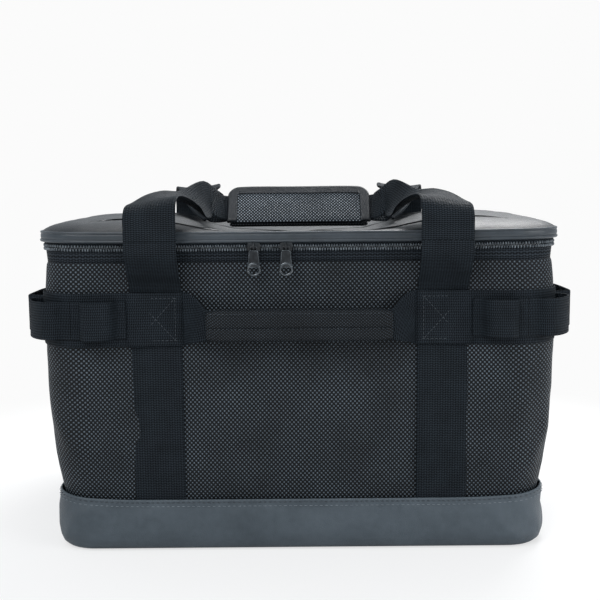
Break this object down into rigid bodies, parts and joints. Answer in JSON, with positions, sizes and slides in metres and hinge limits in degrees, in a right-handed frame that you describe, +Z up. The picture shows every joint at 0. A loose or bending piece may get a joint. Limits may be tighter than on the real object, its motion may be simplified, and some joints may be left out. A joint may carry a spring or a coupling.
{
  "type": "insulated food carrier",
  "caption": "Soft box-shaped insulated carrier with a padded zip lid, carry straps joined in a padded wrap, grab grips, webbing loops and a leather-look boot.",
  "frame": {"origin": "middle of the underside of the boot, on the surface it stands on", "axes": "+Z up, +X to the right as seen from the front, the front with the zip sliders faces -Y"},
  "size_m": [0.472, 0.3465, 0.3186],
  "materials": {
    "nylon": "coarse ballistic nylon weave, dark navy",
    "wrap_nylon": "coarse ballistic nylon, grey",
    "boot_leather": "grained PU leather, blue-grey, satin",
    "trim_leather": "smooth PU-coated cloth, satin",
    "webbing": "ribbed black webbing",
    "foam": "closed-cell foam",
    "lining": "silver-grey heat-reflecting film",
    "plastic": "moulded black plastic",
    "metal": "gunmetal plated"
  },
  "bodies": {
    "bag": {"front_panel": "nylon", "back_panel": "nylon", "right_side_panel": "nylon", "left_side_panel": "nylon", "base_boot": "boot_leather", "base_board": "plastic", "foam_bottom": "foam", "foam_front": "foam", "foam_back": "foam", "foam_left": "foam", "foam_right": "foam", "liner_tub": "lining", "rim_binding": "webbing", "lower_zip_tape": "webbing", "lower_zip_coil": "plastic", "lid_hinge_strip": "nylon", "front_left_strap": "webbing", "front_right_strap": "webbing", "rear_left_strap": "webbing", "rear_right_strap": "webbing", "left_end_band": "webbing", "right_end_band": "webbing", "left_ring_tab": "webbing", "right_ring_tab": "webbing", "left_front_loop": "webbing", "left_rear_loop": "webbing", "left_front_corner_loop": "webbing", "left_rear_corner_loop": "webbing", "left_side_front_loop": "webbing", "left_side_rear_loop": "webbing", "right_front_loop": "webbing", "right_rear_loop": "webbing", "right_front_corner_loop": "webbing", "right_rear_corner_loop": "webbing", "right_side_front_loop": "webbing", "right_side_rear_loop": "webbing"},
    "lid": {"lid_top_panel": "trim_leather", "lid_foam": "foam", "lid_liner": "lining", "lid_gusset": "trim_leather", "lid_piping": "trim_leather", "upper_zip_tape": "webbing", "upper_zip_coil": "plastic"},
    "front_strap": {"front_carry_strap": "webbing"},
    "rear_strap": {"rear_carry_strap": "webbing", "wrap_back_panel": "wrap_nylon"},
    "wrap_flap": {"wrap_flap_panel": "wrap_nylon", "wrap_flap_binding": "trim_leather"},
    "front_grip": {"front_grip_webbing": "webbing", "front_grip_sleeve": "wrap_nylon"},
    "rear_grip": {"rear_grip_webbing": "webbing", "rear_grip_sleeve": "wrap_nylon"},
    "left_slider": {"left_slider": "metal"},
    "left_pull": {"left_pull": "metal"},
    "right_slider": {"right_slider": "metal"},
    "right_pull": {"right_pull": "metal"},
    "left_ring": {"left_ring": "metal"},
    "right_ring": {"right_ring": "metal"}
  },
  "joints": [
    {"name": "lid_open", "type": "hinge", "parent": "bag", "child": "lid", "pos_m": [0, 0.1464, 0.26385], "axis": [-1, 0, 0], "range_deg": [0, 105], "deforming": ["front_carry_strap"]},
    {"name": "front_strap_swing", "type": "hinge", "parent": "bag", "child": "front_strap", "pos_m": [0, -0.1733, 0.2768], "axis": [1, 0, 0], "range_deg": [0, 176]},
    {"name": "rear_strap_swing", "type": "hinge", "parent": "bag", "child": "rear_strap", "pos_m": [0, 0.1733, 0.2768], "axis": [-1, 0, 0], "range_deg": [0, 176]},
    {"name": "wrap_flap_open", "type": "hinge", "parent": "rear_strap", "child": "wrap_flap", "pos_m": [0, -0.01539, 0.27635], "axis": [1, 0, 0], "range_deg": [0, 151]},
    {"name": "front_grip_swing", "type": "hinge", "parent": "bag", "child": "front_grip", "pos_m": [0, -0.154, 0.1985], "axis": [-1, 0, 0], "range_deg": [0, 45]},
    {"name": "rear_grip_swing", "type": "hinge", "parent": "bag", "child": "rear_grip", "pos_m": [0, 0.154, 0.1985], "axis": [1, 0, 0], "range_deg": [0, 45]},
    {"name": "left_slider_slide", "type": "slide", "parent": "bag", "child": "left_slider", "axis": [-1, 0, 0], "range_m": [0, 0.136]},
    {"name": "right_slider_slide", "type": "slide", "parent": "bag", "child": "right_slider", "axis": [1, 0, 0], "range_m": [0, 0.184]},
    {"name": "left_pull_swing", "type": "hinge", "parent": "left_slider", "child": "left_pull", "pos_m": [-0.0376, -0.1542, 0.26385], "axis": [-1, 0, 0], "range_deg": [0, 170]},
    {"name": "right_pull_swing", "type": "hinge", "parent": "right_slider", "child": "right_pull", "pos_m": [-0.0107, -0.1542, 0.26385], "axis": [-1, 0, 0], "range_deg": [0, 170]},
    {"name": "left_ring_swing", "type": "hinge", "parent": "bag", "child": "left_ring", "pos_m": [-0.21516, 0, 0.2407], "axis": [0, 1, 0], "range_deg": [0, 150]},
    {"name": "right_ring_swing", "type": "hinge", "parent": "bag", "child": "right_ring", "pos_m": [0.21516, 0, 0.2407], "axis": [0, -1, 0], "range_deg": [0, 150]}
  ],
  "couplings": [
    {"joint": "front_strap_swing", "follows": "lid_open", "ratio": 1.6667},
    {"joint": "rear_strap_swing", "follows": "lid_open", "ratio": 1.6667},
    {"joint": "wrap_flap_open", "follows": "lid_open", "ratio": 1.4286}
  ]
}
